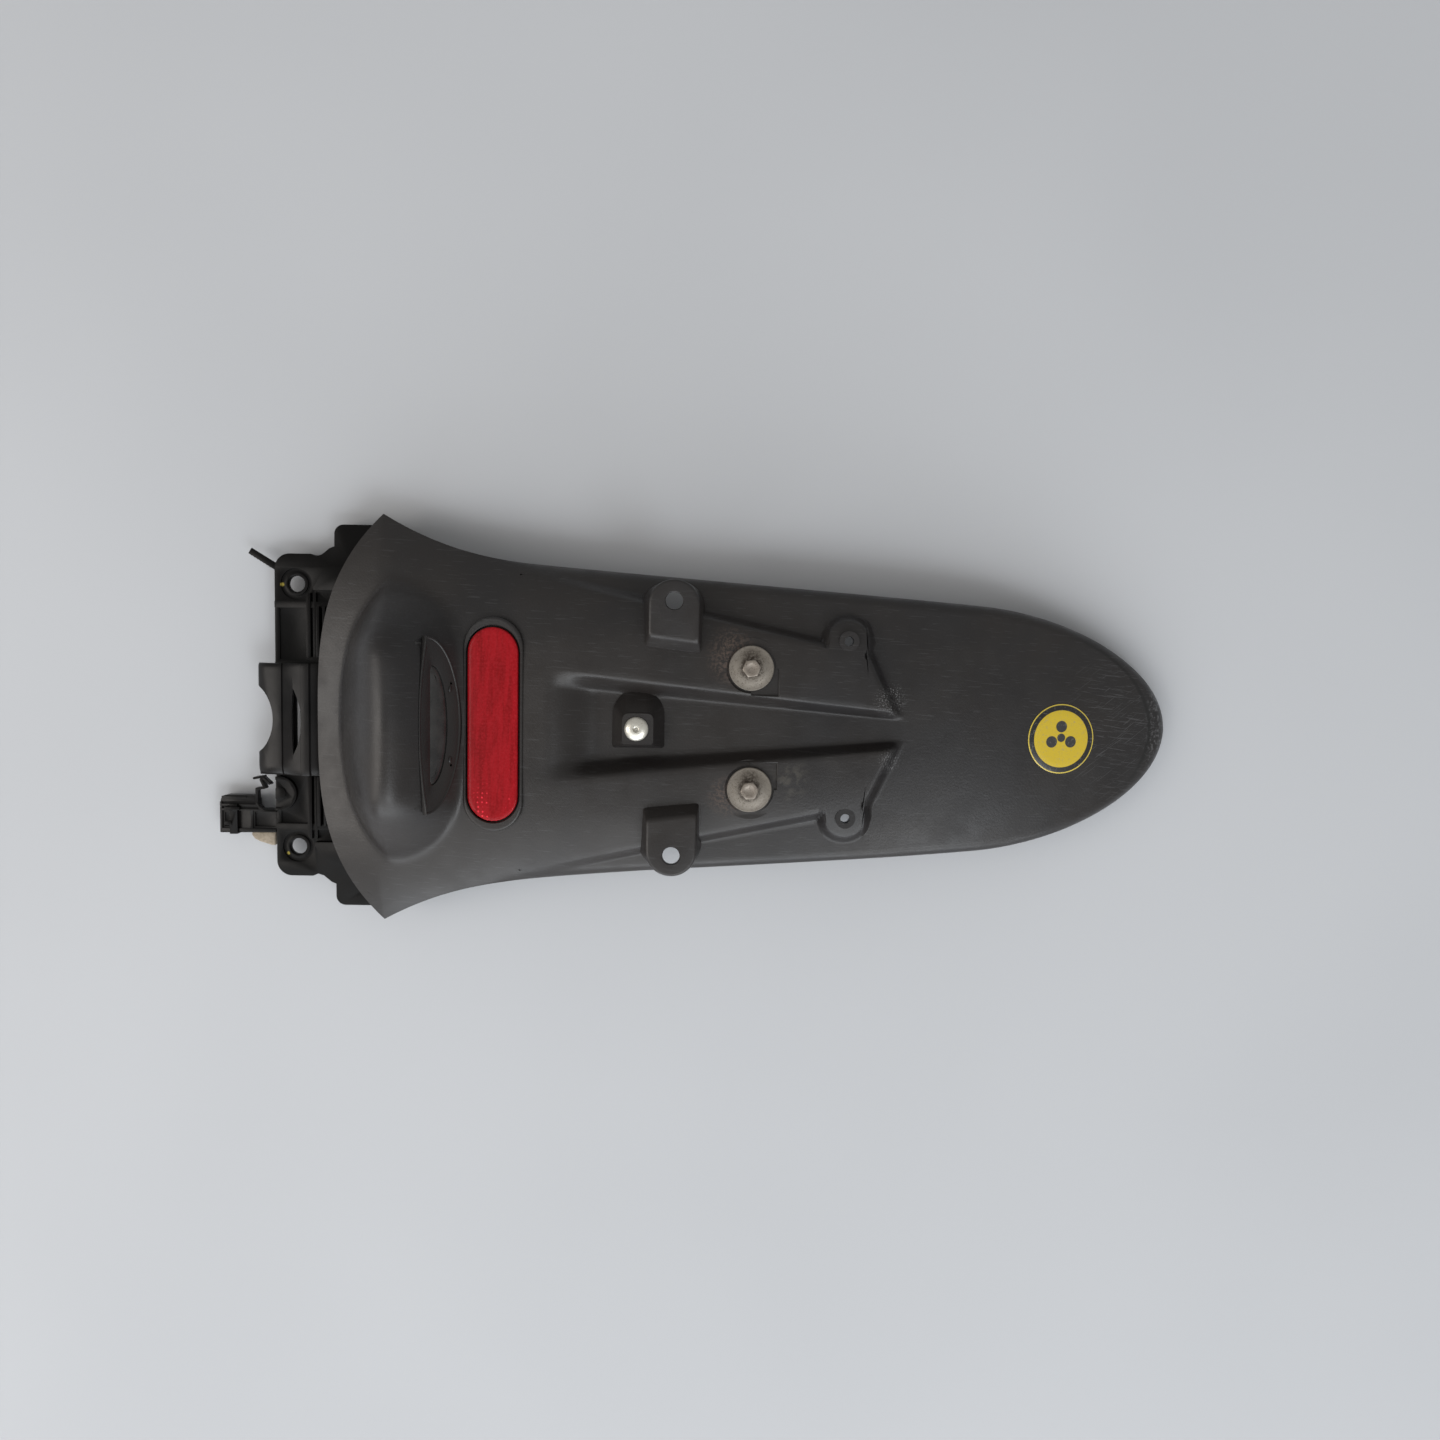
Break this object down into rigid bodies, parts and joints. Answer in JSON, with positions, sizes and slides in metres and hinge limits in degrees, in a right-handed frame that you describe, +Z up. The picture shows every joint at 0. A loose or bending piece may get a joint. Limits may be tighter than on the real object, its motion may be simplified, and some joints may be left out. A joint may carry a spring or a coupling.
{
  "type": "motorcycle rear fender",
  "caption": "Moulded rear fender with a domed plate-lamp hood, pill reflector, flat number-plate deck with a trough and tabs, a rounded tongue and a bolted mounting bracket",
  "frame": {"origin": "midway between the two frame bolt holes, on the upper face of the bracket's flange", "axes": "+X to the tail, +Y to the right side of the machine, +Z up; the fender lies face up"},
  "size_m": [0.5038, 0.212, 0.0769],
  "materials": {
    "shell_plastic": "fine grain, satin",
    "bracket_plastic": "satin",
    "cover_plastic": "satin",
    "lamp_window": "clear",
    "red_lens": "gloss",
    "soft_rubber": "matte",
    "grey_plastic": "matte",
    "bulb_glass": "clear",
    "zinc_steel": "zinc plated",
    "corroded_steel": "corroded zinc plate",
    "bright_rivet": "bright",
    "seal_plastic": "matte",
    "label_yellow": "gloss"
  },
  "bodies": {
    "root": {"fender_shell": "shell_plastic", "mounting_bracket": "bracket_plastic", "cable_hook": "bracket_plastic", "cable_guide": "bracket_plastic", "lamp_cover": "cover_plastic", "lamp_lens": "lamp_window", "lamp_gasket": "soft_rubber", "lamp_body": "grey_plastic", "lamp_socket": "soft_rubber", "lamp_bulb": "bulb_glass", "reflector_lens": "red_lens", "reflector_base": "bracket_plastic", "reflector_washers": "zinc_steel", "reflector_nuts": "zinc_steel", "bolt_right": "corroded_steel", "bolt_left": "corroded_steel", "washer_right": "corroded_steel", "washer_left": "corroded_steel", "grommet_right": "soft_rubber", "grommet_left": "soft_rubber", "collar_right": "zinc_steel", "collar_left": "zinc_steel", "support_plate": "zinc_steel", "weld_nut_right": "zinc_steel", "weld_nut_left": "zinc_steel", "rivet": "bright_rivet", "rivet_washer": "bright_rivet", "bracket_screws": "zinc_steel", "connector_body": "bracket_plastic", "connector_strap": "bracket_plastic", "connector_seal": "seal_plastic", "tie_strap": "bracket_plastic", "sticker": "label_yellow"}
  },
  "joints": []
}
